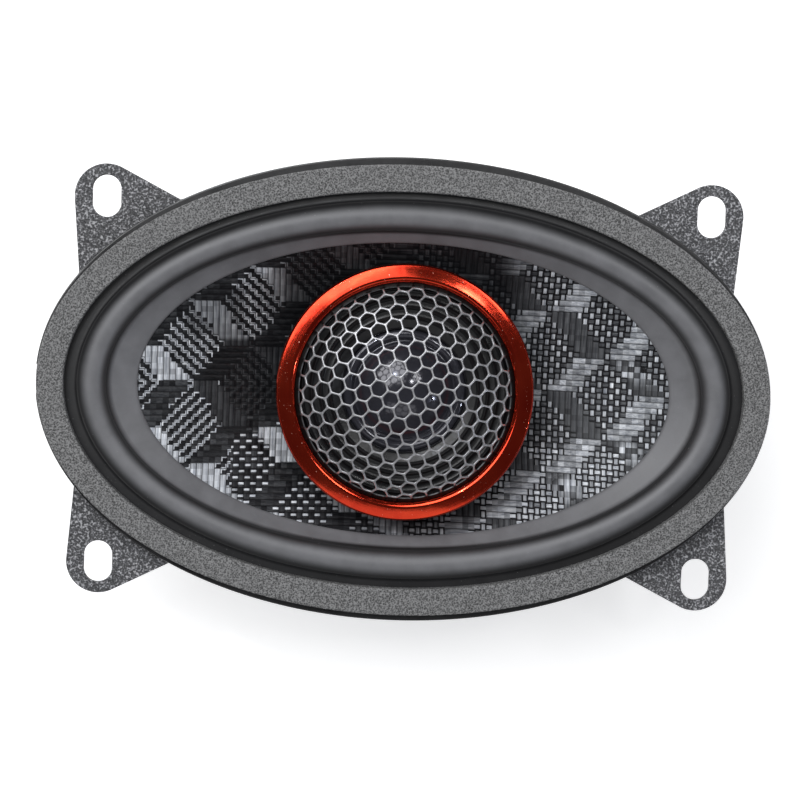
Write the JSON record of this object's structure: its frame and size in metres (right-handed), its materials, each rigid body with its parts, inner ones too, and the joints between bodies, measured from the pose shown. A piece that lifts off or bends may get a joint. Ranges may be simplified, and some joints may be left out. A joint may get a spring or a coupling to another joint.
{
  "type": "coaxial car speaker",
  "caption": "Oval coaxial car speaker with slotted mounting ears, foam gasket, half-roll surround, woven cone and a ringed centre tweeter on a ferrite motor.",
  "frame": {"origin": "centre of the flange's rear seating plane, on the motor's axis", "axes": "+Z out of the cone towards the listener, +X along the long axis of the oval, +Y along its short axis; the speaker rests on the back plate of its motor"},
  "size_m": [0.1528, 0.0968, 0.0593],
  "materials": {
    "basket_paint": "wrinkle-texture powder coat, dark grey with light speckle",
    "black_plastic": "satin moulded",
    "gasket_foam": "fine closed-cell foam",
    "surround_rubber": "satin moulded rubber",
    "cone_weave": "woven fibre in clear resin, glossy",
    "former_film": "amber film",
    "copper_wire": "enamelled copper",
    "spider_cloth": "resin-treated corrugated cloth",
    "plated_steel": "zinc plated",
    "ferrite": "ground ceramic ferrite",
    "red_anodised": "polished red-orange anodised",
    "grille_mesh": "dark grey metal mesh",
    "dome_film": "glossy moulded film",
    "nickel": "nickel plated",
    "phenolic_board": "phenolic paper laminate",
    "brass_blade": "tinned brass",
    "capacitor_sleeve": "shrink sleeve",
    "red_wire": "PVC insulation",
    "black_wire": "PVC insulation",
    "tinsel": "braided copper tinsel"
  },
  "bodies": {
    "frame": {"basket": "basket_paint", "spacer_ring": "black_plastic", "front_gasket": "gasket_foam", "surround": "surround_rubber", "spider": "spider_cloth", "front_plate": "plated_steel", "ferrite_magnet": "ferrite", "pole_yoke": "plated_steel", "motor_rivets": "plated_steel", "tweeter_post": "plated_steel", "post_sleeve": "black_plastic", "rear_washer": "plated_steel", "rear_nut": "plated_steel", "front_nut": "plated_steel", "tweeter_housing": "black_plastic", "tweeter_ring": "red_anodised", "tweeter_grille": "grille_mesh", "tweeter_faceplate": "black_plastic", "tweeter_pole_disc": "plated_steel", "tweeter_magnet": "nickel", "tweeter_yoke": "plated_steel", "terminal_board": "phenolic_board", "board_rivets": "plated_steel", "terminal_positive": "brass_blade", "terminal_negative": "brass_blade", "terminal_eyelets": "brass_blade", "crossover_capacitor": "capacitor_sleeve", "tweeter_lead_positive": "red_wire", "tweeter_lead_negative": "black_wire", "tinsel_lead_positive": "tinsel", "tinsel_lead_negative": "tinsel"},
    "cone_assembly": {"cone": "cone_weave", "voice_coil_former": "former_film", "voice_coil_winding": "copper_wire"},
    "tweeter_diaphragm": {"tweeter_dome": "dome_film", "tweeter_voice_coil": "copper_wire"}
  },
  "joints": [
    {"name": "cone_travel", "type": "slide", "parent": "frame", "child": "cone_assembly", "axis": [0, 0, 1], "range_m": [-0.0025, 0.0025], "stiffness_N_per_m": 1800, "deforming": ["surround", "spider", "tinsel_lead_positive", "tinsel_lead_negative"]},
    {"name": "tweeter_travel", "type": "slide", "parent": "frame", "child": "tweeter_diaphragm", "axis": [0, 0, 1], "range_m": [-0.0003, 0.0003], "stiffness_N_per_m": 1500, "deforming": ["tweeter_dome"]}
  ]
}
